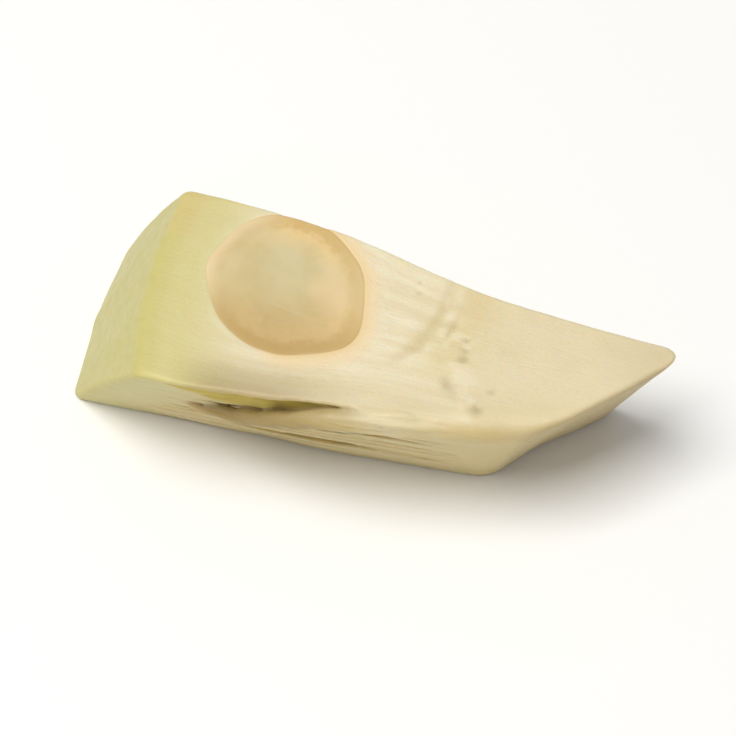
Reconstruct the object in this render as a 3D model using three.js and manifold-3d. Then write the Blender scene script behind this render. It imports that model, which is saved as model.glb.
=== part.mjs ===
// A wedge of young green jackfruit with one seed in it, as it is cut for cooking.
//
// The fruit is peeled, sliced across into slabs, and each slab is cut into wedges that run from the peeled side to
// the core. Two pieces come apart on a bench: the flesh, which grew in one piece (the green layer under the peel, the
// fibrous rags round the seed pod and the dense core), and the seed, which sits in its pod and was cut with it.
//
// Millimetres, +Z up. The wedge lies on its lower cut face, with the peeled side at -X and the core's tip at +X.
// While it is built, the origin is the seed's axis on the lower face; at the end it moves to the middle of the base.
import * as THREE from "three";
import { mergeVertices } from "three/addons/utils/BufferGeometryUtils.js";
import Module from "manifold-3d";

// The slab and the peeled fruit it was cut from, an ellipsoid round the core.
const SLAB_THICKNESS = 18;
const FRUIT_RADIUS = 75;
const FRUIT_HALF_LENGTH = 100;
const FRUIT_AXIS = { x: 45, y: 1 };
const SLAB_ABOVE_EQUATOR = 43;
const PEEL_STROKES_ROUND = 44; // the peeler leaves flat facets, each this share of a turn
const PEEL_FACETS_ALONG = 40;

// How far each knife cut leans, in mm sideways for each mm below the upper face.
const FRONT_LEAN = 0.33;
const BACK_LEAN = 0.07;
const CORE_LEAN = 0.4;
const CORE_LEAN_FROM_X = 20;
const CORE_LEAN_FULL_X = 36;
const LEAN_STEPS = 6;

// The seed, a round body that its neighbours pressed into soft corners and a flat, and the clearance round it.
const SEED_RADIUS = 8.9;
const SEED_UPRIGHT = 10.5;
// The turn of each corner from +X and its width are in degrees, and its reach is a share of the seed's radius.
const SEED_CORNERS = [
  { turn: -75, reach: 0.05, width: 30 },
  { turn: -31, reach: 0.2, width: 23 },
  { turn: 50, reach: -0.035, width: 22 },
  { turn: 100, reach: 0.07, width: 24 },
  { turn: 133, reach: 0.115, width: 24 },
  { turn: 176, reach: 0.09, width: 18 },
];
const SEED_DEPTH = 4; // from the upper face down to the seed's widest section
const SEED_CLEARANCE = 0.3;

// The wedge's upper outline.
const PAST_PEEL_X = -27; // the outline runs past the peeled side, and the fruit's own surface trims it there
const FRONT_Y = -14.7;
const BACK_Y = 8.9;
const TIP = new THREE.Vector2(42.2, 2.6);

const wasm = await Module();
wasm.setup();

// A closed three.js geometry as a manifold-3d solid.
function solidOf(geometry) {
  const bare = geometry.index ? geometry.toNonIndexed() : geometry.clone();
  bare.deleteAttribute("normal");
  bare.deleteAttribute("uv");
  const merged = mergeVertices(bare, 1e-4);
  return new wasm.Manifold(
    new wasm.Mesh({
      numProp: 3,
      vertProperties: merged.attributes.position.array,
      triVerts: new Uint32Array(merged.index.array),
    }),
  );
}

// A manifold-3d solid as a three.js geometry.
function geometryOf(solid) {
  const mesh = solid.getMesh();
  const geometry = new THREE.BufferGeometry()
    .setAttribute("position", new THREE.BufferAttribute(mesh.vertProperties, 3))
    .setIndex(new THREE.BufferAttribute(mesh.triVerts, 1));
  geometry.computeVertexNormals();
  return geometry;
}

// The upper face's outline, from the peeled side along the front cut, round the core's tip and back.
function upperOutline() {
  const outline = new THREE.Shape();
  outline.moveTo(PAST_PEEL_X, FRONT_Y - 1.3);
  outline.lineTo(1.5, FRONT_Y);
  outline.splineThru([new THREE.Vector2(13.7, -13.8), new THREE.Vector2(24.5, -12.6)]);
  outline.quadraticCurveTo(29, -12.2, 31.6, -9.9); // the knife rounds the shoulder of the core
  outline.lineTo(TIP.x - 0.7, TIP.y - 2);
  outline.quadraticCurveTo(TIP.x, TIP.y, TIP.x - 1.2, TIP.y + 1.1);
  outline.lineTo(28, 4.4);
  outline.splineThru([new THREE.Vector2(19, 5), new THREE.Vector2(9, 7.5), new THREE.Vector2(-2, BACK_Y)]);
  outline.lineTo(PAST_PEEL_X, BACK_Y + 1);
  outline.closePath();
  return outline;
}

// The outline extruded down through the slab, with each side leaning as its knife cut does.
function cutWedge() {
  const wedge = new THREE.ExtrudeGeometry(upperOutline(), {
    depth: SLAB_THICKNESS,
    steps: LEAN_STEPS,
    curveSegments: 8,
    bevelEnabled: false,
  });
  const { lerp, mapLinear, smoothstep } = THREE.MathUtils;
  const points = wedge.attributes.position;
  for (let i = 0; i < points.count; i++) {
    const [x, y, z] = [points.getX(i), points.getY(i), points.getZ(i)];
    const below = SLAB_THICKNESS - z;
    const sideLean = lerp(FRONT_LEAN, BACK_LEAN, mapLinear(y, FRONT_Y, BACK_Y, 0, 1));
    const coreLean = CORE_LEAN * smoothstep(x, CORE_LEAN_FROM_X, CORE_LEAN_FULL_X);
    points.setXYZ(i, x - below * coreLean, y + below * sideLean, z);
  }
  return solidOf(wedge);
}

// The peeled fruit, in the slab's frame.
function peeledFruit() {
  const fruit = new THREE.SphereGeometry(1, PEEL_STROKES_ROUND, PEEL_FACETS_ALONG)
    .rotateX(Math.PI / 2)
    .scale(FRUIT_RADIUS, FRUIT_RADIUS, FRUIT_HALF_LENGTH)
    .translate(FRUIT_AXIS.x, FRUIT_AXIS.y, -SLAB_ABOVE_EQUATOR);
  return solidOf(fruit);
}

// How far the seed's outline stands out in one direction, as a share of its radius.
function seedReach(turn) {
  let reach = 1;
  for (const corner of SEED_CORNERS) {
    const away = THREE.MathUtils.euclideanModulo(turn - corner.turn + 180, 360) - 180;
    reach += corner.reach * Math.exp(-((away / corner.width) ** 2));
  }
  return reach;
}

// The whole seed, grown by a clearance where the pod it sits in is wanted.
function seedBody(clearance = 0) {
  const body = new THREE.SphereGeometry(1, 60, 30).rotateX(Math.PI / 2);
  const points = body.attributes.position;
  for (let i = 0; i < points.count; i++) {
    const [x, y] = [points.getX(i), points.getY(i)];
    const reach = seedReach(THREE.MathUtils.radToDeg(Math.atan2(y, x)));
    points.setXY(i, x * reach, y * reach);
  }
  body
    .scale(SEED_RADIUS + clearance, SEED_RADIUS + clearance, SEED_UPRIGHT + clearance)
    .translate(0, 0, SLAB_THICKNESS - SEED_DEPTH);
  return solidOf(body);
}

function piece(name, solid, color, roughness) {
  const mesh = new THREE.Mesh(
    geometryOf(solid),
    new THREE.MeshStandardMaterial({ color, roughness, metalness: 0 }),
  );
  mesh.name = name;
  return mesh;
}

const wedge = cutWedge().intersect(peeledFruit());
const pieces = new THREE.Group();
pieces.add(
  piece("flesh", wedge.subtract(seedBody(SEED_CLEARANCE)), 0xefe6c2, 0.55),
  piece("seed", wedge.intersect(seedBody()), 0xddcda2, 0.4),
);

// The origin is the middle of the base.
const extent = new THREE.Box3().setFromObject(pieces);
const middle = extent.getCenter(new THREE.Vector3());
pieces.position.set(-middle.x, -middle.y, -extent.min.z);

const jackfruitWedge = new THREE.Group();
jackfruitWedge.add(pieces);

export default jackfruitWedge;
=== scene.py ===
"""The finish of a peeled wedge of young green jackfruit: its flesh and its sectioned seed.

The wedge is carved out of a sampled field, as the knife and the fruit's own growth shaped it, and its
surface is meshed. Lengths are millimetres in the wedge's own frame: x from the seed's axis to the core's
tip, y away from the leaning front cut, z up from the lower cut face. Blender's objects are metres in the
part's frame.
"""
from itertools import product
from types import SimpleNamespace

import bpy
import numpy as np
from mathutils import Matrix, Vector


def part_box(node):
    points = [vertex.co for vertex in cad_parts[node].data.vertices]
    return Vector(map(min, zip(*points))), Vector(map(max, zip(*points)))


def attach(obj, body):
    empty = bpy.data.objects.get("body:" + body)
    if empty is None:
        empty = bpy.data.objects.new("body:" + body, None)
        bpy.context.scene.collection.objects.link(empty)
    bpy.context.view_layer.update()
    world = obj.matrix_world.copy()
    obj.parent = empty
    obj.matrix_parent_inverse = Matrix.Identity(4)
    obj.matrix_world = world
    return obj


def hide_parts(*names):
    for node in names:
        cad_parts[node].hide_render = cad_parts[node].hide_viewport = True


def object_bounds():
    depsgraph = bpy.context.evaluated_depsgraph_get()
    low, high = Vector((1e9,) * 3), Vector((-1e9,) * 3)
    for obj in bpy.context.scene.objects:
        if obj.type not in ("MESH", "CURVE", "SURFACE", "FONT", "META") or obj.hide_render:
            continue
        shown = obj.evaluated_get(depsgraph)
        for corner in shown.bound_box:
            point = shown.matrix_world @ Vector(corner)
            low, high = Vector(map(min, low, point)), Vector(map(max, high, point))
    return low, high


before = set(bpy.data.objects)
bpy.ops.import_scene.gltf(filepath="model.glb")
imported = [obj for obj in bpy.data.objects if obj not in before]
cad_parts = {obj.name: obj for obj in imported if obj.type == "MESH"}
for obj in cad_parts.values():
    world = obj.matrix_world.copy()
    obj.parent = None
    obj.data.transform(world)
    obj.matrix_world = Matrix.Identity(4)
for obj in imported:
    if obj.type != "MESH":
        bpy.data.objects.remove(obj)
CAD_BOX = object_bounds()
MM = 0.001

# The slab and the fruit, as the CAD solids have them.
THICKNESS = 18.0
FRUIT_RADIUS = 75.0
FRUIT_HALF_LENGTH = 100.0
FRUIT_AXIS = (45.0, 1.0)
ABOVE_EQUATOR = 43.0
PEEL_STROKES_ROUND = 44
FRONT_Y, BACK_Y = -14.7, 8.9
# How far each cut leans, sideways for each mm down. The core's lean comes in along x and is found in steps.
FRONT_LEAN, BACK_LEAN, CORE_LEAN = 0.33, 0.07, 0.4
CORE_LEAN_X = (20, 36)
CORE_LEAN_STEPS = 4
# The upper outline: knots of the two long cuts, the ends of the short one, and how soft the corners are.
FRONT_CUT = ((-27, -16.0), (1.5, -14.7), (13.7, -13.8), (24.5, -12.6), (34, -11.6))
BACK_CUT = ((-27, 9.9), (-2, 8.9), (4, 8.4), (9, 7.5), (19, 5.0), (28, 4.4), (42, 3.7))
CORE_CUT = ((31.6, -9.9), (41.5, 0.6))
OUTLINE_SOFTNESS = 4
# A distance square to the leaning front cut, as a share of the level one.
FRONT_SQUARE = 0.97
# The blunt tip's middle, how far out it bows, and its bow for each mm of that squared.
TIP = (42.2, 2.6)
TIP_BOW_WIDTH = 4
TIP_BOW = 0.1

# How far over each edge is rounded, and what the firm shoulder, the core and the peel add along the top.
ROUND = SimpleNamespace(front_core=4.0, back=0.8, tip=1.8, peel=1.0, base=0.5, top=0.45,
                        shoulder=2.2, core_top=0.7, peel_top=0.5)
# Where those three come in or go out, from nothing to the whole.
SHOULDER = SimpleNamespace(start_x=(11, 19), end_x=(34, 26), y=(-2, -7))
CORE_TOP = SimpleNamespace(x=(20, 28), from_back=(-1.5, -4))
PEEL_TOP_DEPTH = (4, 1)

# The unevenness of a hand-held cut: how deep on each face, how long, and the steps along the blade's path.
# Here and below, lengths are those of an uneven field's features along each of its axes.
WAVE = SimpleNamespace(sides=0.3, core=0.25, top=0.22, base=0.12, lengths=(11, 11))
STEP = SimpleNamespace(depth=0.02, lengths=(16, 1.6))

# The seed: each soft corner has its turn in degrees, its share of the radius and its width in degrees.
SEED_RADIUS, SEED_UPRIGHT = 8.9, 10.5
SEED_CORNERS = ((-75, 0.05, 30), (-31, 0.2, 23), (50, -0.035, 22),
                (100, 0.07, 24), (133, 0.115, 24), (176, 0.09, 18))
SEED_MIDDLE_Z = THICKNESS - 4.0
# How far the flesh closes in over the seed's surface, and how far the rim of its pod is rounded.
POD = SimpleNamespace(overlap=0.35, round=0.05)
# How far the seed swells into the pod's clearance, how far its cut edges are rounded, and how the cut sinks
# at the coat's rim and over the kernel.
SEED_CUT = SimpleNamespace(swell=0.25, round=0.5, rim=0.01, kernel=0.06, kernel_depth=(-1.5, -3.2))
SEED_LUMP = SimpleNamespace(depth=0.03, lengths=(1.5, 1.5, 1.5))
# The line where the kernel's halves meet: its fall for each mm of x, and how far below the axis it runs.
HALVES_FALL = 0.15
HALVES_BELOW = 2.75

# The fibres part round the seed, keep a least share of their room, and part this much sideways.
PARTING = SimpleNamespace(radius=0.9 * SEED_RADIUS, least=0.03, sideways=0.4)
# They also drift off their course.
DRIFT = SimpleNamespace(amount=0.8, lengths=(14, 7, 7))
# A loose strand: its size, its border's span in mm, how far it stands proud of a side cut and how unevenly.
STRAND = SimpleNamespace(length=13, width=1.7, height=1.35, span=1.4, proud=0.15, uneven=0.25)
# The groove between two loose strands, and the fibres that each strand is made of.
GROOVE = SimpleNamespace(depth=0.55, width=0.28)
FIBRE = SimpleNamespace(depth=0.06, lengths=(8, 0.5, 0.5))
# The depths in from the peel and from the core over which strands get loose.
LOOSE = SimpleNamespace(from_peel=(4, 10), from_core=(0.5, -6))
# How wide a seam between strands is, and how deep on the upper face, the lower one and torn flesh.
SEAM = SimpleNamespace(width=0.2, top=0.05, base=0.1, torn=0.2)
# How far from the seed the strands begin to show, and from where on they show fully.
SEED_CLEAR = SimpleNamespace(sides=(0.3, 3.5), others=(0.5, 3))

# The border where the loose strands meet the core: its x at y = 0, its drift for each mm of y, its wander.
CORE_BORDER = SimpleNamespace(x=18.2, drift=-0.34, wander=0.8, lengths=(5, 5, 6))
# The arcs where the strands bend round the seed, all about one centre: each one's radius and half width.
ARC_CENTRE = (3, 3)
ARC = SimpleNamespace(furrow=(13.75, 0.75), ridge=(14.8, 0.5), crease=(15.65, 0.25), bend=(17.0, 2.6),
                      lines=(13.75, 2.5))
# The turns, in degrees, over which the arcs come in and go out, and the crease's own middle and half width.
ARC_TURN = SimpleNamespace(start=(-46, -30), end=(12, -4), bend_start=(-40, -25), crease=(-12, 7))
# How deep or high they are, and how the crease compares with the furrow.
ARC_DEPTH = SimpleNamespace(furrow=0.12, ridge=0.09, line=0.03, crease_share=0.8)
# How far they stray from a circle, how lumpy the ridge is, and the fine lines: their spacing in mm, their
# length in degrees and how far they reach down.
ARC_WANDER = SimpleNamespace(amount=0.25, lengths=(2, 2, 5))
RIDGE_LUMP = SimpleNamespace(shown=(-0.6, 0.6), lengths=(1, 1, 3))
ARC_LINE = SimpleNamespace(lengths=(0.5, 14, 9))

# A thick strand that has come away along the front of the upper face, as x, y, z and radius along it.
SPLINTER = ((-12, -12.2, 9.0, -1), (-8, -12.6, 10.0, 0.4), (-3, -13.2, 11.2, 0.85), (2.1, -13.8, 13.0, 1.0),
            (5.5, -13.9, 15.0, 1.05), (8.7, -13.7, 16.2, 1.2), (11.8, -13.4, 16.5, 1.35),
            (14.8, -12.7, 16.5, 1.35), (19, -11.8, 15.9, 0.9), (23, -11, 15.2, 0.2), (27, -10, 15, -0.8))
# The cleft that it left, as x, the torn edge's y, the floor's z and how far it reaches in under the edge.
CLEFT = ((-10, -15.8, 18, 0.6), (-5, -15.1, 14.8, 1.1), (1.6, -14.0, 12.8, 1.3), (4.5, -13.3, 14.7, 0.8),
         (7.3, -12.8, 16.3, 0.4), (10, -12.6, 17.0, 0.1), (13, -12.5, 17.7, 0), (15, -12.3, 19, 0))
# How softly both bend, how far they blend into the flesh, and the cleft's ragged edge and its roof.
SPLINTER_BLEND = SimpleNamespace(softness=3, round=0.4, root_round=1.8, root_x=(9, 17))
CLEFT_BLEND = SimpleNamespace(softness=1.5, round=0.5, ragged=0.2, lengths=(1.5, 2), roof=0.7, slope=0.6)

# Vessel ends where the strands meet the core: x, y and radius.
PITS = ((20.1, -1.5, 0.4), (20.35, -2.6, 0.55), (20.5, -3.7, 0.55), (19.6, -7.1, 0.65), (23.5, -9.3, 0.7),
        (24.4, -6.9, 0.35), (13.5, 4.15, 0.22), (13.8, 2.9, 0.25))
# How deep the wide ones are, how a narrow one's share of that follows its radius, and how ragged they are.
PIT = SimpleNamespace(depth=0.22, share=1.5, ragged=0.25, lengths=(0.7, 0.7))
# The lumps among them, in a band along the core's border: its middle and half width.
LUMP = SimpleNamespace(depth=0.045, band=(0.6, 2), lengths=(1.2, 1.2, 2))

# Gaps between strands on the two side cuts: x, z and half their length.
FRONT_GAPS = ((10, 10.5, 5), (-4, 7.6, 6), (6, 5.2, 6))
BACK_GAPS = ((-10, 7.5, 6), (9, 5.5, 7))
# How deep and high a gap is, how wide it is and opens, how soon it fades to its ends, and how far under the
# upper face it closes.
GAP = SimpleNamespace(depth=2.0, height=0.8, width=0.1, widening=0.24, fade=0.8, closed=(0.8, 2.5))
# The chance gaps: how open they are, and where their field begins to open them and has done so.
CHANCE_GAP = SimpleNamespace(open=0.6, start=(0.4, 0.8), lengths=(12, 3, 2))

# The net that the spines leave under the peel: a mesh's size, the width and depth of its lines, the dot in
# each mesh, as shares of its size, and the grain of the peeled face.
NET = SimpleNamespace(mesh=5.2, line=0.07, line_depth=0.02, dot=(0.32, 0.46), dot_depth=0.03)
PEEL_GRAIN = SimpleNamespace(depth=0.04, lengths=(2, 2))
# How deep the cut flesh sinks over the hidden side of the seed, and where it does.
POD_LIP = SimpleNamespace(depth=0.15, reach=(0.15, -0.35))

# The number that starts each random field. A cut's next number starts its steps.
RANDOM = SimpleNamespace(
    fibre_sideways=11, fibre_upwards=12, core_border=13,
    front_wave=21, back_wave=23, core_wave=25, top_wave=27, base_wave=29,
    strands=31, fibres=35, torn_edge=37, arc=41, ridge=43, arc_lines=45, pits=47, lumps=49,
    net=51, peel=53, front_gaps=61, back_gaps=63, seed_surface=71,
)

# The boxes that are sampled and the spacing of the samples.
FLESH_BOX = (-24, -17, -0.4), (43, 12, 18.4)
SEED_BOX = (-11, -11, 3), (11, 11, 18.2)
FLESH_STEP = 0.21
SEED_STEP = 0.17
# How many rows of samples are worked out at a time, and how far in and out of the plain cuts detail reaches.
SLAB_ROWS = 24
DETAIL_DEPTH, DETAIL_HEIGHT = 3.4, 2.6
# The most triangles that a piece keeps; one with more is thinned.
MOST_TRIANGLES = 190_000


# ---------------------------------------------------------------- random fields

def fade(t):
    """A share from 0 to 1, eased at both ends."""
    return t * t * (3 - 2 * t)


def ramp(value, low, high):
    """0 below low, 1 above high (or the other way round), smooth between."""
    return fade(np.clip((value - low) / (high - low), 0, 1))


def bump(value, middle, width):
    """1 at a value's middle, fading to 0 over a width on either side."""
    return np.exp(-(((value - middle) / width) ** 2))


def noise(seed, x, y, z=0.0, size=32):
    """Smooth random values between -1 and 1, one new value each unit."""
    table = np.random.default_rng(seed).uniform(-1, 1, (size, size, size)).astype(np.float32)
    axes = [np.asarray(c, np.float32) for c in np.broadcast_arrays(x, y, z)]
    whole = [np.floor(c).astype(np.int32) for c in axes]
    part = [fade(c - w) for c, w in zip(axes, whole)]
    total = np.zeros(axes[0].shape, np.float32)
    for corner in product((0, 1), repeat=3):
        weight = 1.0
        for p, c in zip(part, corner):
            weight = weight * (p if c else 1 - p)
        total += weight * table[tuple((w + c) % size for w, c in zip(whole, corner))]
    return total


def uneven(seed, lengths, *axes):
    """Noise over two or three axes, with the length of its features along each."""
    return noise(seed, *(axis / length for axis, length in zip(axes, lengths)))


def strands(seed, along, u, v, size=32):
    """Strands lying side by side that drift and swell along their length.

    Gives the distance inside a strand's border, 0 at the border, and a tone of the strand's own.
    """
    random = np.random.default_rng(seed)
    centres = random.uniform(0.12, 0.88, (size, size, size, 2)).astype(np.float32)
    tones = random.uniform(0, 1, (size, size)).astype(np.float32)
    knot = np.floor(along).astype(np.int32)
    blend = fade(along - knot)[..., None]
    row, column = np.floor(u).astype(np.int32), np.floor(v).astype(np.int32)
    nearest = np.full(np.shape(u), 9, np.float32)
    second = nearest.copy()
    tone = np.zeros_like(nearest)
    for du, dv in product((-1, 0, 1), repeat=2):
        i, j = (row + du) % size, (column + dv) % size
        centre = centres[i, j, knot % size] * (1 - blend) + centres[i, j, (knot + 1) % size] * blend
        gap = (u - row - du - centre[..., 0]) ** 2 + (v - column - dv - centre[..., 1]) ** 2
        closer = gap < nearest
        second = np.where(closer, nearest, np.minimum(second, gap))
        tone = np.where(closer, tones[i, j], tone)
        nearest = np.where(closer, gap, nearest)
    return (np.sqrt(second) - np.sqrt(nearest)) / 2, tone


def carve(a, b, radius):
    """What two cuts both leave, with the edge between them rounded."""
    near = np.maximum(radius - np.abs(a - b), 0) / radius
    return np.maximum(a, b) + near * near * radius / 4


# ---------------------------------------------------------------- the cuts

def soft_lines(points, x, softness):
    """Values at x along the lines that a few knots give, with the lines' corners softened."""
    xs, *lines = zip(*points)
    shifts = [softness * share for share in (-1, -0.5, 0, 0.5, 1)]
    return [sum(np.interp(x + shift, xs, line) for shift in shifts) / len(shifts) for line in lines]


def splinter(place):
    """Millimetres outside the strand that came away."""
    middle_y, middle_z, radius = soft_lines(SPLINTER, place.x, SPLINTER_BLEND.softness)
    return np.hypot(place.y - middle_y, place.z - middle_z) - radius


def seed_reach(turn):
    """How far the seed's outline stands out in a direction, as a share of its radius."""
    reach = 1
    for corner, share, width in SEED_CORNERS:
        away = (np.degrees(turn) - corner + 180) % 360 - 180
        reach = reach + share * np.exp(-((away / width) ** 2))
    return reach


def seed_distance(x, y, z):
    """Millimetres outside the whole seed's surface, negative inside it."""
    level = np.hypot(x, y) / seed_reach(np.arctan2(y, x)) / SEED_RADIUS
    upright = (z - SEED_MIDDLE_Z) / SEED_UPRIGHT
    return (np.hypot(level, upright) - 1) * SEED_RADIUS


def read_place(points):
    """Where points lie in the wedge, with its leaning cuts stood upright, and in the fruit."""
    x, y, z = (points[..., k].astype(np.float32) for k in range(3))
    below = THICKNESS - z
    lean_change = (BACK_LEAN - FRONT_LEAN) / (BACK_Y - FRONT_Y)
    top_y = (y - below * (FRONT_LEAN - lean_change * FRONT_Y)) / (1 + below * lean_change)
    top_x = x
    for _ in range(CORE_LEAN_STEPS):
        top_x = x + below * CORE_LEAN * ramp(top_x, *CORE_LEAN_X)
    return SimpleNamespace(
        x=x, y=y, z=z, top_x=top_x, top_y=top_y,
        front=soft_lines(FRONT_CUT, top_x, OUTLINE_SOFTNESS)[0],
        back=soft_lines(BACK_CUT, top_x, OUTLINE_SOFTNESS)[0],
        from_axis=np.hypot(x - FRUIT_AXIS[0], y - FRUIT_AXIS[1]),
        turn=np.arctan2(y - FRUIT_AXIS[1], FRUIT_AXIS[0] - x),
        seed=seed_distance(x, y, z),
    )


def peel_cut(place):
    """The peeled side: the fruit's ellipsoid, flattened along each stroke of the peeler."""
    stroke = 2 * np.pi / PEEL_STROKES_ROUND
    off_middle = place.turn % stroke - stroke / 2
    flattened = place.from_axis * np.cos(off_middle) / np.cos(stroke / 2)
    height = (place.z + ABOVE_EQUATOR) * FRUIT_RADIUS / FRUIT_HALF_LENGTH
    return np.hypot(flattened, height) - FRUIT_RADIUS


def plain_cuts(place):
    """Millimetres outside each of the wedge's faces, negative inside."""
    (x0, y0), (x1, y1) = CORE_CUT
    length = np.hypot(x1 - x0, y1 - y0)
    from_tip = np.minimum(np.abs(place.top_y - TIP[1]), TIP_BOW_WIDTH)
    return SimpleNamespace(
        front=(place.front - place.top_y) * FRONT_SQUARE,
        back=place.top_y - place.back,
        core=((place.top_x - x0) * (y1 - y0) - (place.top_y - y0) * (x1 - x0)) / length,
        tip=place.top_x - TIP[0] + TIP_BOW * from_tip ** 2,
        peel=peel_cut(place),
        top=place.z - THICKNESS,
        base=-place.z,
    )


def join_cuts(place, cuts):
    """The solid that all the cuts leave. The front's upper edge is well rounded where the flesh is firm."""
    solid = carve(cuts.front, cuts.core, ROUND.front_core)
    solid = carve(solid, cuts.back, ROUND.back)
    solid = carve(solid, cuts.tip, ROUND.tip)
    solid = carve(solid, cuts.peel, ROUND.peel)
    shoulder = ramp(place.top_x, *SHOULDER.start_x) * ramp(place.top_x, *SHOULDER.end_x)
    shoulder = shoulder * ramp(place.top_y, *SHOULDER.y)
    core_side = ramp(place.top_x, *CORE_TOP.x) * ramp(place.top_y - place.back, *CORE_TOP.from_back)
    peel_side = ramp(-cuts.peel, *PEEL_TOP_DEPTH)
    over = ROUND.top + ROUND.shoulder * shoulder + ROUND.core_top * core_side + ROUND.peel_top * peel_side
    solid = carve(solid, cuts.top, over)
    return carve(solid, cuts.base, ROUND.base)


def knife_wave(seed, u, v, depth):
    """The slow unevenness of a hand-held cut, with faint steps along the blade's path on it."""
    slow = uneven(seed, WAVE.lengths, u, v)
    step = uneven(seed + 1, STEP.lengths, u, v)
    return depth * (0.5 + 0.5 * slow) + STEP.depth * step


def add_waves(place, cuts):
    """Makes the knife's cuts uneven, each in its own way."""
    cuts.front = cuts.front + knife_wave(RANDOM.front_wave, place.x, place.z, WAVE.sides)
    cuts.back = cuts.back + knife_wave(RANDOM.back_wave, place.x, place.z, WAVE.sides)
    cuts.core = cuts.core + knife_wave(RANDOM.core_wave, place.y, place.z, WAVE.core)
    cuts.top = cuts.top + knife_wave(RANDOM.top_wave, place.x, place.y, WAVE.top)
    cuts.base = cuts.base + knife_wave(RANDOM.base_wave, place.x, place.y, WAVE.base)


# ---------------------------------------------------------------- what grew

def drift(seed, x, across, rise):
    """How far the fibres stray from a straight course."""
    return DRIFT.amount * uneven(seed, DRIFT.lengths, x, across, rise)


def read_grain(place):
    """Directions of growth: fibres run along the wedge between its side cuts, and part round the seed."""
    width = BACK_Y - FRONT_Y
    across = (place.top_y - place.front) / (place.back - place.front) * width + FRONT_Y
    rise = place.z - SEED_MIDDLE_Z
    from_seed = np.sqrt(place.x ** 2 + across ** 2 + rise ** 2)
    parting = np.sqrt(np.clip(1 - (PARTING.radius / np.maximum(from_seed, 1)) ** 3, PARTING.least, 1))
    across, rise = across * (1 - PARTING.sideways + PARTING.sideways * parting), rise * parting
    across = across + drift(RANDOM.fibre_sideways, place.x, across, rise)
    rise = rise + drift(RANDOM.fibre_upwards, place.x, across, rise)
    wander = CORE_BORDER.wander * uneven(RANDOM.core_border, CORE_BORDER.lengths, place.x, place.y, place.z)
    core = place.top_x - CORE_BORDER.x - CORE_BORDER.drift * place.top_y + wander
    inward = -peel_cut(place)
    loose = ramp(inward, *LOOSE.from_peel) * ramp(core, *LOOSE.from_core)
    border, tone = strands(
        RANDOM.strands, place.x / STRAND.length, across / STRAND.width, rise / STRAND.height)
    return SimpleNamespace(across=across, rise=rise, core=core, inward=inward, loose=loose,
                           border=border * STRAND.span, tone=tone)


def gap_openness(place, grain, gaps, seed):
    """Where the strands of a side cut stand apart: the listed gaps and a few chance ones."""
    chance = uneven(seed, CHANCE_GAP.lengths, place.x, grain.across, grain.rise)
    open_ = CHANCE_GAP.open * ramp(chance, *CHANCE_GAP.start)
    for x, z, half in gaps:
        along = bump(place.x, x, half * GAP.fade)
        open_ = np.maximum(open_, along * bump(grain.rise, z - SEED_MIDDLE_Z, GAP.height))
    return open_ * grain.loose * ramp(place.z, *(THICKNESS - depth for depth in GAP.closed))


def side_relief(place, grain, gaps, seed):
    """How far the strands sink a side cut: between them, in their gaps, and each by its own height."""
    whole = ramp(place.seed, *SEED_CLEAR.sides)
    open_ = gap_openness(place, grain, gaps, seed)
    between = GROOVE.depth * np.exp(-grain.border / GROOVE.width) - STRAND.proud
    gap = GAP.depth * open_ * bump(grain.border, 0, GAP.width + GAP.widening * open_)
    height = STRAND.uneven * (grain.tone - 0.5)
    fine = FIBRE.depth * uneven(RANDOM.fibres, FIBRE.lengths, place.x, grain.across, grain.rise)
    return whole * (grain.loose * (between + height + fine) + gap)


def cleft(place):
    """Millimetres inside the cleft that the strand left in the upper face, negative outside."""
    edge, floor, reach = soft_lines(CLEFT, place.x, CLEFT_BLEND.softness)
    ragged = CLEFT_BLEND.ragged * uneven(RANDOM.torn_edge, CLEFT_BLEND.lengths, place.x, place.z)
    before_edge = edge - place.y + ragged
    roof = THICKNESS - CLEFT_BLEND.roof - place.z + CLEFT_BLEND.slope * before_edge
    under_roof = np.minimum(reach + before_edge, roof)
    return np.minimum(place.z - floor, np.maximum(before_edge, under_roof))


def growth_arcs(place):
    """The arcs where the strands bend round the seed before they turn into the core.

    They are furrows, a lumpy ridge, fine lines along them, and the warmer band beyond.
    """
    x, y = place.x - ARC_CENTRE[0], place.y - ARC_CENTRE[1]
    wander = ARC_WANDER.amount * uneven(RANDOM.arc, ARC_WANDER.lengths, place.x, place.y, place.z)
    around = np.hypot(x, y) + wander
    turn = np.degrees(np.arctan2(y, x))
    shown = ramp(turn, *ARC_TURN.start) * ramp(turn, *ARC_TURN.end)
    crease = ARC_DEPTH.crease_share * bump(around, *ARC.crease) * bump(turn, *ARC_TURN.crease)
    lumps = uneven(RANDOM.ridge, RIDGE_LUMP.lengths, place.x, place.y, place.z)
    lines = uneven(RANDOM.arc_lines, ARC_LINE.lengths, around, turn, place.z)
    return SimpleNamespace(
        furrow=shown * bump(around, *ARC.furrow) + crease,
        ridge=shown * bump(around, *ARC.ridge) * ramp(lumps, *RIDGE_LUMP.shown),
        fine=shown * bump(around, *ARC.lines) * lines,
        bend=bump(around, *ARC.bend) * ramp(turn, *ARC_TURN.bend_start),
    )


def core_pits(place, grain):
    """The vessel ends where the strands meet the core, and the lumps among them."""
    pit = np.zeros_like(place.x)
    ragged = PIT.ragged * uneven(RANDOM.pits, PIT.lengths, place.x, place.y)
    for x, y, radius in PITS:
        away = np.hypot(place.x - x, place.y - y) + ragged
        pit = np.maximum(pit, bump(away, 0, radius) * min(1, PIT.share * radius))
    lump = uneven(RANDOM.lumps, LUMP.lengths, place.x, place.y, place.z)
    return pit, bump(grain.core, *LUMP.band) * lump


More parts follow.
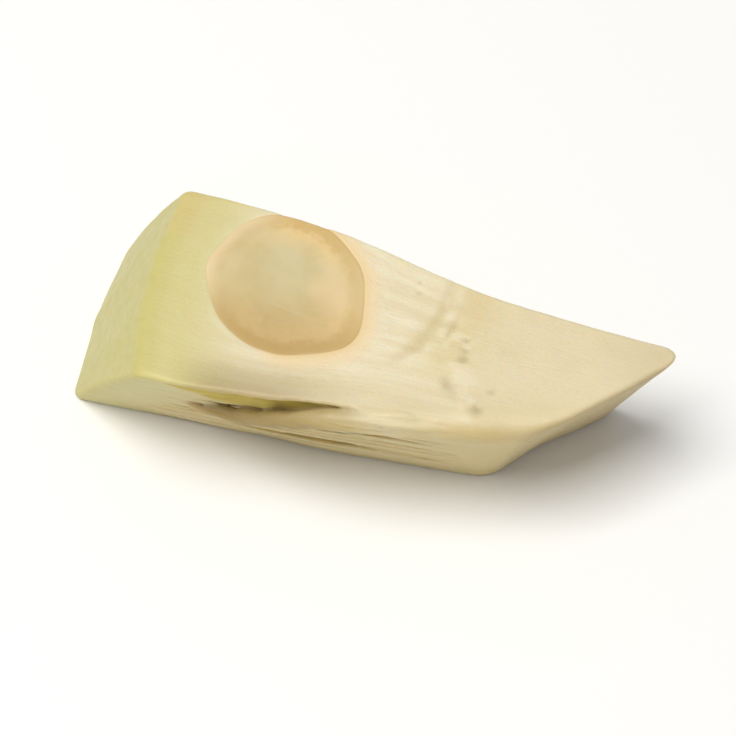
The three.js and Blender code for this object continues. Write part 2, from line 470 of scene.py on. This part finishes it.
def peel_marks(place):
    """The faint net that the fruit's spines leave under the peel: its lines and the dot in each mesh."""
    border, _ = strands(RANDOM.net, 0 * place.z, place.turn * FRUIT_RADIUS / NET.mesh, place.z / NET.mesh)
    return bump(border, 0, NET.line), ramp(border, *NET.dot)


def carve_flesh(points):
    """The flesh near its surface, with everything that shows on it."""
    place = read_place(points)
    grain = read_grain(place)
    cuts = plain_cuts(place)
    add_waves(place, cuts)
    arcs = growth_arcs(place)
    pit, lump = core_pits(place, grain)
    net, dot = peel_marks(place)
    seams = grain.loose * np.exp(-grain.border / SEAM.width) * ramp(place.seed, *SEED_CLEAR.others)
    under_seed = POD_LIP.depth * ramp(place.seed, *POD_LIP.reach)
    cuts.front = cuts.front + side_relief(place, grain, FRONT_GAPS, RANDOM.front_gaps)
    cuts.back = cuts.back + side_relief(place, grain, BACK_GAPS, RANDOM.back_gaps) + under_seed
    cuts.top = cuts.top + SEAM.top * seams + ARC_DEPTH.furrow * arcs.furrow
    cuts.top = cuts.top - ARC_DEPTH.ridge * arcs.ridge + ARC_DEPTH.line * arcs.fine
    cuts.top = cuts.top + PIT.depth * pit + LUMP.depth * lump + under_seed
    cuts.base = cuts.base + SEAM.base * seams
    peel_grain = uneven(RANDOM.peel, PEEL_GRAIN.lengths, place.y, place.z)
    cuts.peel = cuts.peel + NET.line_depth * net + NET.dot_depth * dot + PEEL_GRAIN.depth * peel_grain
    solid = carve(join_cuts(place, cuts), cleft(place) - SEAM.torn * seams, CLEFT_BLEND.round)
    root_round = SPLINTER_BLEND.round + SPLINTER_BLEND.root_round * ramp(place.x, *SPLINTER_BLEND.root_x)
    return -carve(-solid, -splinter(place) - SEAM.torn * seams, root_round)


def flesh_field(points):
    """The flesh as a field: negative inside, zero on its surface."""
    place = read_place(points)
    solid = join_cuts(place, plain_cuts(place))
    near = (solid > -DETAIL_DEPTH) & (solid < DETAIL_HEIGHT)
    solid[near] = carve_flesh(points[near])
    return carve(solid, -POD.overlap - place.seed, POD.round)


def seed_field(points):
    """The seed as a field: its coat stands a little above its kernel on the cut faces."""
    place = read_place(points)
    cuts = plain_cuts(place)
    add_waves(place, cuts)
    lumps = uneven(RANDOM.seed_surface, SEED_LUMP.lengths, place.x, place.y, place.z)
    kernel = ramp(place.seed, *SEED_CUT.kernel_depth)
    sunk = SEED_CUT.rim + SEED_CUT.kernel * kernel + SEED_LUMP.depth * lumps
    solid = carve(place.seed - SEED_CUT.swell, cuts.top + sunk, SEED_CUT.round)
    return carve(solid, cuts.back + sunk, SEED_CUT.round)


# ---------------------------------------------------------------- meshing

def sample(field_of, axes):
    """A field's values on a grid, worked out a slab at a time."""
    slabs = []
    for start in range(0, len(axes[0]), SLAB_ROWS):
        grid = np.meshgrid(axes[0][start:start + SLAB_ROWS], axes[1], axes[2], indexing="ij")
        slabs.append(field_of(np.stack(grid, -1)))
    return np.concatenate(slabs).astype(np.float32)


def surface_net(field_of, low, high, step):
    """The surface where a field is zero: points and quads, one point in each grid cell that it crosses."""
    axes = [np.arange(a - step, b + 2 * step, step) for a, b in zip(low, high)]
    field = sample(field_of, axes)
    cell_shape = np.array(field.shape) - 1
    sums = np.zeros((cell_shape.prod(), 3))
    count = np.zeros(cell_shape.prod())
    quads = []
    for axis in range(3):
        start = np.moveaxis(np.moveaxis(field, axis, 0)[:-1], 0, axis)
        end = np.moveaxis(np.moveaxis(field, axis, 0)[1:], 0, axis)
        edge = np.argwhere((start < 0) != (end < 0))
        a, b = start[tuple(edge.T)], end[tuple(edge.T)]
        crossing = edge.astype(float)
        crossing[:, axis] += a / (a - b)
        corners = []
        for du, dv in ((0, 0), (-1, 0), (-1, -1), (0, -1)):
            cell = edge.copy()
            cell[:, (axis + 1) % 3] += du
            cell[:, (axis + 2) % 3] += dv
            flat = np.ravel_multi_index(cell.T, cell_shape)
            count += np.bincount(flat, minlength=len(count))
            for k in range(3):
                sums[:, k] += np.bincount(flat, crossing[:, k], len(sums))
            corners.append(flat)
        ring = np.stack(corners, 1)
        ring[a > 0] = ring[a > 0][:, ::-1]
        quads.append(ring)
    used = np.flatnonzero(count)
    number = np.full(len(count), -1)
    number[used] = np.arange(len(used))
    points = settle(field, sums[used] / count[used, None])
    return largest_part(points * step + [a[0] for a in axes], number[np.concatenate(quads)])


def settle(field, points):
    """Moves points, in grid units, onto the field's zero."""
    for _ in range(2):
        whole = np.floor(points).astype(int)
        part = points - whole
        value = np.zeros(len(points))
        slope = np.zeros((len(points), 3))
        for corner in product((0, 1), repeat=3):
            at = field[tuple((whole + corner).T)]
            weights = np.where(corner, part, 1 - part)
            value += at * weights.prod(1)
            for k in range(3):
                others = np.delete(weights, k, 1).prod(1)
                slope[:, k] += at * others * (1 if corner[k] else -1)
        move = -value[:, None] * slope / np.maximum((slope ** 2).sum(1), 1e-6)[:, None]
        size = np.linalg.norm(move, axis=1, keepdims=True)
        points = points + move * np.minimum(1, 0.5 / np.maximum(size, 1e-6))
    return points


def largest_part(points, quads):
    """A mesh without the crumbs that came loose from it."""
    part = np.arange(len(points))
    while True:
        lowest = part[quads].min(1)
        joined = part.copy()
        np.minimum.at(joined, quads, lowest[:, None])
        joined = joined[joined]
        if (joined == part).all():
            break
        part = joined
    kept = part == np.bincount(part).argmax()
    number = np.cumsum(kept) - 1
    return points[kept], number[quads[kept[quads[:, 0]]]]


def wedge_origin():
    """Where the wedge's own origin lies in the part's frame, from the seed's box."""
    turn = np.radians(np.arange(-180, 180, 6))
    outline = SEED_RADIUS * seed_reach(turn)
    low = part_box("seed")[0]
    left, front = (outline * np.cos(turn)).min(), (outline * np.sin(turn)).min()
    return np.array([low[0] - left * MM, low[1] - front * MM, 0.0])


ORIGIN = wedge_origin()


def mesh_piece(name, points, faces):
    """A Blender object out of points in the wedge's frame, thinned to the most triangles that a piece keeps.
    """
    mesh = bpy.data.meshes.new(name)
    mesh.from_pydata((points * MM + ORIGIN).tolist(), [], faces.tolist())
    piece = bpy.data.objects.new(name, mesh)
    bpy.context.scene.collection.objects.link(piece)
    triangles = sum(len(face.vertices) - 2 for face in mesh.polygons)
    if triangles > MOST_TRIANGLES:
        thin = piece.modifiers.new("thin", "DECIMATE")
        thin.ratio = MOST_TRIANGLES / triangles
        graph = bpy.context.evaluated_depsgraph_get()
        piece.data = bpy.data.meshes.new_from_object(piece.evaluated_get(graph))
        piece.modifiers.clear()
    piece.data.shade_smooth()
    return piece


def wedge_points(piece):
    """A piece's points in the wedge's own frame, in millimetres."""
    flat = np.empty(len(piece.data.vertices) * 3)
    piece.data.vertices.foreach_get("co", flat)
    return (flat.reshape(-1, 3) - ORIGIN) / MM


def mark(piece, **values):
    """Writes named numbers, or triples of them, on a piece's points for its material to read."""
    for name, value in values.items():
        kind, key = ("FLOAT", "value") if value.ndim == 1 else ("FLOAT_VECTOR", "vector")
        layer = piece.data.attributes.new(name, kind, "POINT")
        layer.data.foreach_set(key, np.ascontiguousarray(value, np.float32).ravel())


# ---------------------------------------------------------------- materials

class Nodes:
    """A short way to write a material's nodes."""

    def __init__(self, name):
        self.material = bpy.data.materials.new(name)
        self.material.use_nodes = True
        self.tree = self.material.node_tree
        self.tree.nodes.clear()
        self.output = self.tree.nodes.new("ShaderNodeOutputMaterial")

    def add(self, kind, inputs=None, **settings):
        """A shader node, with each input linked to a socket or set to a value."""
        node = self.tree.nodes.new("ShaderNode" + kind)
        for key, value in settings.items():
            setattr(node, key, value)
        for key, value in (inputs or {}).items():
            if isinstance(value, bpy.types.NodeSocket):
                self.tree.links.new(value, node.inputs[key])
            else:
                node.inputs[key].default_value = value
        return node

    def read(self, name, output="Fac"):
        """What mark wrote on the piece's points under a name."""
        return self.add("Attribute", attribute_name=name).outputs[output]

    def times(self, a, b):
        return self.add("Math", {0: a, 1: b}, operation="MULTIPLY").outputs[0]

    def plus(self, a, b):
        return self.add("Math", {0: a, 1: b}, operation="ADD").outputs[0]

    def between(self, value, low, high, to_low=0.0, to_high=1.0):
        """A value that eases from one number to another as the value it follows goes from low to high."""
        inputs = {"Value": value, "From Min": low, "From Max": high, "To Min": to_low, "To Max": to_high}
        return self.add("MapRange", inputs, interpolation_type="SMOOTHSTEP").outputs[0]

    def streaks(self, vector, scale, detail=3.0):
        """Noise between 0 and 1, with so many features for each mm in each direction."""
        stretched = self.add("Mapping", {"Vector": vector, "Scale": scale}).outputs[0]
        return self.add("TexNoise", {"Vector": stretched, "Scale": 1.0, "Detail": detail}).outputs["Fac"]

    def tint(self, amount, a, b):
        """Colour a turning into colour b by an amount."""
        return self.add("Mix", {0: amount, 6: a, 7: b}, data_type="RGBA").outputs[2]

    def finish(self, shader):
        self.tree.links.new(shader, self.output.inputs["Surface"])
        return self.material


def colour(red, green, blue):
    """An sRGB colour in 0 to 255 as Blender's linear one."""
    linear = [((c / 255 + 0.055) / 1.055) ** 2.4 for c in (red, green, blue)]
    return (*linear, 1.0)


CREAM = colour(226, 214, 181)
WHITE = colour(231, 222, 193)
IVORY = colour(223, 210, 175)
STRAW = colour(206, 187, 136)
WARM_STRAW = colour(213, 192, 132)
PALE_GREEN = colour(209, 200, 138)
RIND_GREEN = colour(198, 190, 118)
NET_GREEN = colour(170, 164, 92)
# Olive for painted shade; along the torn edge partly the flesh's own colour.
OLIVE_AND_PAINTED_SHADE = colour(128, 106, 50)
# Olive for the cleft's floor: partly painted shade, partly the torn flesh's own colour.
DEEP_OLIVE_AND_PAINTED_SHADE = colour(204, 182, 88)
SHADE = colour(176, 158, 116)
TAN = colour(200, 166, 100)
GOLD = colour(226, 200, 146)
# Darker tone for the seed's lower side: partly its own, partly painted shade.
UMBER_AND_PAINTED_SHADE = colour(172, 142, 84)
BLUSH = colour(236, 210, 168)
KERNEL = colour(212, 201, 160)
KERNEL_SHADE = colour(203, 184, 134)


def cut_flesh(n, along, fine, cloud, loose):
    """Cream and white strands, the ivory core, and the warmer side cuts, whose warmth is partly their own
    and partly painted warm bounce light; with painted shade towards the front edge, towards the core's tip
    and on the core's slanting cut.
    """
    base = n.tint(n.between(along, 0.35, 0.7), CREAM, WHITE)
    base = n.tint(n.between(n.read("core"), -1, 3), base, IVORY)
    base = n.tint(n.between(cloud, 0.5, 0.8, 0, 0.3), base, STRAW)
    base = n.tint(n.times(n.between(fine, 0.52, 0.7, 0, 0.18), n.between(loose, 0, 1, 0.5, 1)), base, STRAW)
    # Painted shade: darker towards the front edge of the upper face.
    base = n.tint(n.between(n.read("front"), 8, 1, 0, 0.35), base, STRAW)
    # Painted shade: darker towards the core's tip.
    base = n.tint(n.between(n.read("core"), 15, 24, 0, 0.25), base, SHADE)
    # The side cuts' warmer tone: partly their own, partly painted warm light thrown back from nearby pieces.
    strand_tone = n.times(n.read("side"), n.between(n.read("tone"), 0.1, 0.9, 0.45, 0.85))
    base = n.tint(strand_tone, base, WARM_STRAW)
    # Painted shade on the core's slanting cut.
    return n.tint(n.times(n.read("core_cut_painted_shade"), 0.55), base, SHADE)


def green_layers(n, base, inward):
    """The green that deepens towards the peel, and the net that the spines left."""
    base = n.tint(n.between(inward, 10, 2.5, 0, 0.9), base, PALE_GREEN)
    base = n.tint(n.between(inward, 2.6, 0.0, 0, 0.8), base, RIND_GREEN)
    return n.tint(n.times(n.read("net"), 0.08), base, NET_GREEN)


def growth_marks(n, base):
    """The arcs, the lumps and the vessel ends on the upper face."""
    base = n.tint(n.times(n.read("bend"), 0.45), base, WARM_STRAW)
    base = n.tint(n.times(n.read("furrow"), 0.6), base, STRAW)
    base = n.tint(n.times(n.read("ridge"), 0.5), base, WHITE)
    base = n.tint(n.between(n.read("lumps"), -0.1, -0.6, 0, 0.5), base, WHITE)
    base = n.tint(n.between(n.read("lumps"), 0.1, 0.6, 0, 0.15), base, SHADE)
    return n.tint(n.times(n.read("pits"), 0.55), base, SHADE)


def pod_and_cleft(n, base, cleft_floor):
    """The blush round the seed's pod, and olive that is painted shade in the gaps and on the strand that
    came away, and partly painted shade along the torn edge and in the cleft.
    """
    base = n.tint(n.between(n.read("pod"), 2.2, 0.4, 0, 0.8), base, BLUSH)
    base = n.tint(n.between(n.read("pod"), 0.9, 0.0, 0, 0.7), base, GOLD)
    # Painted shade: olive that deepens with depth in the gaps and hollows under the plain cuts.
    base = n.tint(n.between(n.read("sunk"), 0.6, 1.9, 0, 0.9), base, OLIVE_AND_PAINTED_SHADE)
    # Painted shade on the strand that came away.
    base = n.tint(n.times(n.read("strand_painted_shade"), 0.68), base, OLIVE_AND_PAINTED_SHADE)
    # Olive along the torn edge of the upper face: partly painted shade, partly the torn flesh's own colour.
    base = n.tint(n.times(n.read("torn_edge"), 0.45), base, OLIVE_AND_PAINTED_SHADE)
    # Olive on the cleft's floor: partly painted shade, partly the torn flesh's own colour.
    return n.tint(n.times(cleft_floor, 0.9), base, DEEP_OLIVE_AND_PAINTED_SHADE)


def flesh_material():
    """Moist flesh that light enters a little way, with the grain of its fibres and a fine grit."""
    n = Nodes("flesh")
    grain = n.read("grain", "Vector")
    place = n.read("place", "Vector")
    loose = n.read("loose")
    inward = n.read("inward")
    cleft_floor = n.read("cleft")
    along = n.streaks(grain, (0.08, 0.8, 0.8), detail=4)
    fine = n.streaks(grain, (0.15, 3.2, 3.2), detail=3)
    cloud = n.streaks(place, (0.14, 0.14, 0.14), detail=3)

    base = cut_flesh(n, along, fine, cloud, loose)
    base = green_layers(n, base, inward)
    base = growth_marks(n, base)
    base = pod_and_cleft(n, base, cleft_floor)

    height = n.plus(n.times(fine, 0.7), n.streaks(place, (2.5, 2.5, 2.5), detail=4))
    grit = n.add("Bump", {"Height": height, "Strength": 0.55, "Distance": 0.0001})
    shader = n.add("BsdfPrincipled", {
        "Base Color": base,
        "Roughness": n.plus(n.between(along, 0.3, 0.7, 0.38, 0.54), n.times(cleft_floor, 0.5)),
        "Specular IOR Level": 0.4,
        "Subsurface Weight": n.between(n.read("from_seed"), 0, 1.2, 0, 0.5),
        "Subsurface Radius": (1.0, 0.62, 0.28),
        "Subsurface Scale": 0.002,
        "Normal": grit.outputs[0],
    })
    return n.finish(shader.outputs[0])


def seed_material():
    """The seed's cut kernel, the line where its halves meet, and the coat's ring round it, darker towards
    its lower side, partly in its own tone and partly painted shade.
    """
    n = Nodes("seed")
    place = n.read("place", "Vector")
    cloud = n.streaks(place, (0.2, 0.2, 0.2), detail=3)
    speck = n.streaks(place, (1.2, 1.2, 1.2), detail=3)
    depth = n.plus(n.read("coat"), n.between(speck, 0.3, 0.7, -0.3, 0.3))
    ring = n.read("ring")
    fold = n.read("fold")
    embryo = n.times(n.between(fold, -0.25, 0.0), n.between(fold, 0.25, 0.0, 0, 0.35))
    base = n.tint(n.between(cloud, 0.35, 0.65, 0.2, 0.8), KERNEL_SHADE, KERNEL)
    base = n.tint(n.times(embryo, n.read("embryo")), base, CREAM)
    # Darker towards the seed's lower side: partly the ring's own deeper tone, partly painted shade.
    base = n.tint(n.between(n.read("low"), -3, 8, 0, 0.6), base, TAN)
    base = n.tint(n.times(n.between(depth, 4.2, 1.6), ring), base, GOLD)
    base = n.tint(n.times(n.between(depth, 2.0, 0.8, 0, 0.65), ring), base, TAN)
    base = n.tint(n.between(n.read("coat"), 0.35, 0.0, 0, 0.35), base, TAN)
    # More of it towards the lower side: partly own tone, partly painted shade.
    base = n.tint(n.between(n.read("low"), 1, 8, 0, 0.5), base, UMBER_AND_PAINTED_SHADE)
    base = n.tint(n.times(n.between(n.read("coat"), 1.6, 0.0, 0, 0.7), n.read("bare_rim")), base, BLUSH)
    base = n.tint(n.times(n.between(n.read("coat"), 1.2, 3.0, 0.15, 0.5), n.read("bright")), base, BLUSH)
    height = n.streaks(place, (1.8, 1.8, 1.8), detail=5)
    grit = n.add("Bump", {"Height": height, "Strength": 0.2, "Distance": 0.0001})
    shader = n.add("BsdfPrincipled", {
        "Base Color": base,
        "Roughness": n.between(cloud, 0.3, 0.7, 0.3, 0.42),
        "Specular IOR Level": 0.45,
        "Subsurface Weight": n.between(n.read("coat"), 0, 1.2, 0, 0.7),
        "Subsurface Radius": (1.0, 0.7, 0.35),
        "Subsurface Scale": 0.0025,
        "Normal": grit.outputs[0],
    })
    return n.finish(shader.outputs[0])


# ---------------------------------------------------------------- pieces

# Where the loose strand's tear runs out at its peel end, and where the painted shade on the strand and its
# edge's olive, partly painted shade, fade.
TEAR_START_X = (-10, -3)
SHADE_END_X = (16, 2)
TORN_EDGE_END_X = (14, 2)
# The kernel's embryo along x: from nothing to the whole, at both of its ends.
EMBRYO_START_X = (-3, -0.5)
EMBRYO_END_X = (5.5, 3.5)


def seed_side(place):
    """1 towards the peeled side of the seed, where its coat is thin, and -1 towards the core."""
    return -np.cos(np.arctan2(place.y, place.x) + np.radians(5))


def flesh_marks(place):
    """What the flesh's material reads at each point."""
    grain = read_grain(place)
    cuts = plain_cuts(place)
    arcs = growth_arcs(place)
    pit, lump = core_pits(place, grain)
    net, dot = peel_marks(place)
    on_top = ramp(cuts.top, -1, -0.4)
    outside_strand = splinter(place)
    outermost = np.maximum(np.maximum(cuts.front, cuts.back), cuts.core)
    # Where the side cuts are, for their warmer tone that is partly painted bounce light.
    side = ramp(outermost, -2.5, -0.8) * ramp(cuts.top, -0.1, -1.2)
    light_strand = ramp(outside_strand, 0.5, 0) * ramp(place.x, 10, 15)
    from_front = place.top_y - place.front
    along_tear = ramp(place.x, *TEAR_START_X)
    return dict(
        grain=np.stack([place.x, grain.across, grain.rise], 1),
        place=np.stack([place.x, place.y, place.z], 1),
        core=grain.core,
        inward=grain.inward,
        loose=grain.loose,
        side=side * (1 - 0.8 * light_strand),
        tone=0.6 + (grain.tone - 0.6) * grain.loose,
        # Painted shade on the core's slanting cut.
        core_cut_painted_shade=ramp(cuts.core, -1.4, -0.3) * ramp(cuts.top, 0.1, -0.6),
        net=np.maximum(net, dot) * ramp(cuts.peel, -0.6, -0.2),
        furrow=arcs.furrow * on_top,
        ridge=arcs.ridge * on_top,
        bend=arcs.bend * on_top,
        pits=pit * on_top,
        lumps=lump * on_top,
        from_seed=place.seed,
        pod=place.seed + 5 * ramp(seed_side(place), -0.3, 0.6),
        # How far under the plain cuts, for the painted shade in gaps and hollows.
        sunk=-join_cuts(place, cuts),
        # The cleft's floor, for its olive that is partly painted shade.
        cleft=ramp(cleft(place), -0.5, -0.1) * ramp(cuts.top, -0.3, -1.0) * ramp(outside_strand, 0.1, 0.4),
        # Painted shade on the strand that came away.
        strand_painted_shade=ramp(outside_strand, 0.6, 0.1) * ramp(place.x, *SHADE_END_X) * along_tear,
        # How far in from the front edge, for the painted shade along it.
        front=from_front,
        # Olive along the torn edge: partly painted shade, partly the torn flesh's own colour.
        torn_edge=ramp(from_front, 6, 0.5) * ramp(place.x, *TORN_EDGE_END_X) * along_tear * on_top,
    )


def build_flesh():
    """The carved flesh, in the place of the CAD's."""
    points, quads = surface_net(flesh_field, *FLESH_BOX, FLESH_STEP)
    piece = mesh_piece("flesh_cut", points, quads)
    mark(piece, **flesh_marks(read_place(wedge_points(piece))))
    piece.data.materials.append(flesh_material())
    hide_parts("flesh")
    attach(piece, "root")


def seed_marks(place):
    """What the seed's material reads at each point."""
    core_side = bump(np.arctan2(place.y, place.x), 0.2, 0.6)
    thin_coat = ramp(seed_side(place), 0.2, 0.9)
    return dict(
        place=np.stack([place.x, place.y, place.z], 1),
        coat=-place.seed,
        ring=1 - 0.75 * thin_coat - 0.6 * core_side,
        bright=core_side * ramp(place.x, 1.5, 3.5),
        # Towards the seed's lower side, for its darkening that is partly painted shade.
        low=-place.y,
        bare_rim=thin_coat * ramp(place.y, -5, 0),
        fold=place.y + HALVES_FALL * place.x + HALVES_BELOW,
        embryo=ramp(place.x, *EMBRYO_START_X) * ramp(place.x, *EMBRYO_END_X),
    )


def build_seed():
    """The carved seed, in the place of the CAD's."""
    points, quads = surface_net(seed_field, *SEED_BOX, SEED_STEP)
    piece = mesh_piece("seed_cut", points, quads)
    mark(piece, **seed_marks(read_place(wedge_points(piece))))
    piece.data.materials.append(seed_material())
    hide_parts("seed")
    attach(piece, "root")


# ---------------------------------------------------------------- studio

CAMERA_AZIMUTH, CAMERA_ELEVATION = np.radians(16), np.radians(58)
CAMERA_DISTANCE = 0.5
CAMERA_LENS = 228
KEY = SimpleNamespace(place=(-0.2, -0.15, 0.88), size=0.5, power=7.0, tint=(1.0, 0.99, 0.965))
SKY = SimpleNamespace(tint=(1.0, 0.99, 0.97, 1), strength=0.36)
FLOOR = SimpleNamespace(half_width=1.5, colour=(0.92, 0.92, 0.92, 1), roughness=0.7)


def build_camera():
    """A long lens from above and a little to the right, as in the photo."""
    low, high = CAD_BOX
    target = (Vector(low) + Vector(high)) / 2
    back = Vector((
        np.sin(CAMERA_AZIMUTH) * np.cos(CAMERA_ELEVATION),
        -np.cos(CAMERA_AZIMUTH) * np.cos(CAMERA_ELEVATION),
        np.sin(CAMERA_ELEVATION),
    ))
    data = bpy.data.cameras.new("camera")
    data.lens = CAMERA_LENS
    camera = bpy.data.objects.new("camera", data)
    camera.location = target + back * CAMERA_DISTANCE
    camera.rotation_euler = (-back).to_track_quat("-Z", "Y").to_euler()
    bpy.context.scene.collection.objects.link(camera)
    bpy.context.scene.camera = camera


def add_light(name, place, size, power, tint):
    """A square soft light, turned to where the part lies."""
    data = bpy.data.lights.new(name, "AREA")
    data.size = size
    data.energy = power
    data.color = tint
    light = bpy.data.objects.new(name, data)
    light.location = place
    light.rotation_euler = (-Vector(place)).to_track_quat("-Z", "Y").to_euler()
    bpy.context.scene.collection.objects.link(light)


def build_sky():
    """Even light from all round."""
    world = bpy.data.worlds.new("studio")
    world.use_nodes = True
    background = world.node_tree.nodes["Background"]
    background.inputs["Color"].default_value = SKY.tint
    background.inputs["Strength"].default_value = SKY.strength
    bpy.context.scene.world = world
    bpy.context.scene.view_settings.view_transform = "Standard"


def build_floor():
    """The pale surface that the part lies on."""
    half = FLOOR.half_width
    corners = [(-half, -half, 0), (half, -half, 0), (half, half, 0), (-half, half, 0)]
    mesh = bpy.data.meshes.new("floor")
    mesh.from_pydata(corners, [], [(0, 1, 2, 3)])
    floor = bpy.data.objects.new("floor", mesh)
    bpy.context.scene.collection.objects.link(floor)
    n = Nodes("floor")
    shader = n.add("BsdfPrincipled", {"Base Color": FLOOR.colour, "Roughness": FLOOR.roughness})
    mesh.materials.append(n.finish(shader.outputs[0]))


build_camera()
add_light("key", KEY.place, KEY.size, KEY.power, KEY.tint)
build_sky()
build_floor()
build_flesh()
build_seed()
